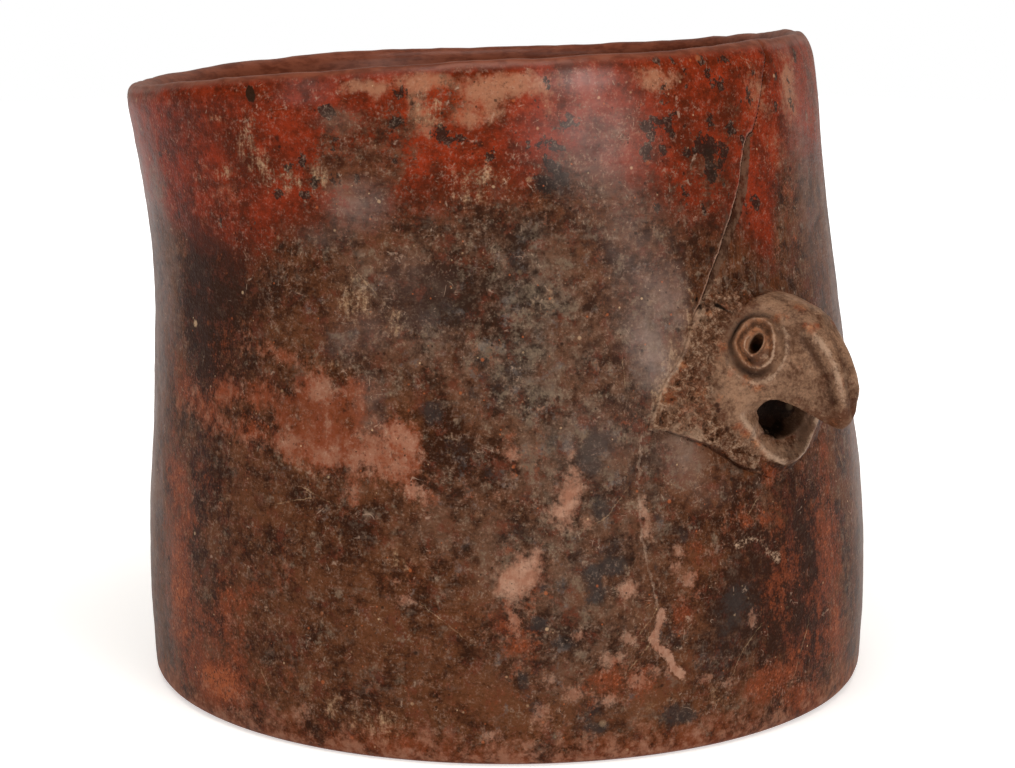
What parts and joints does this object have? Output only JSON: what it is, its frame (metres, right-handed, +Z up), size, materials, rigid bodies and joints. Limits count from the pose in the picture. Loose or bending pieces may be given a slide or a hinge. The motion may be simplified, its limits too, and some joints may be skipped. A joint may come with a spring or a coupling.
{
  "type": "clay pot with a parrot's head",
  "caption": "Wide open hand-built clay pot with a thin rounded lip, leaning slightly, with a small parrot's head modelled on its wall and a flat underside to stand on.",
  "frame": {"origin": "centre of the flat underside, on the surface the pot stands on", "axes": "+Z up; +X the way the parrot's beak points; +Y to the parrot's left"},
  "size_m": [0.1933, 0.1766, 0.1543],
  "materials": {
    "burnished_clay": "burnished red slip over brown clay, satin, worn, with smoke-blackened patches and old mended cracks"
  },
  "bodies": {
    "root": {"pot": "burnished_clay"}
  },
  "joints": []
}
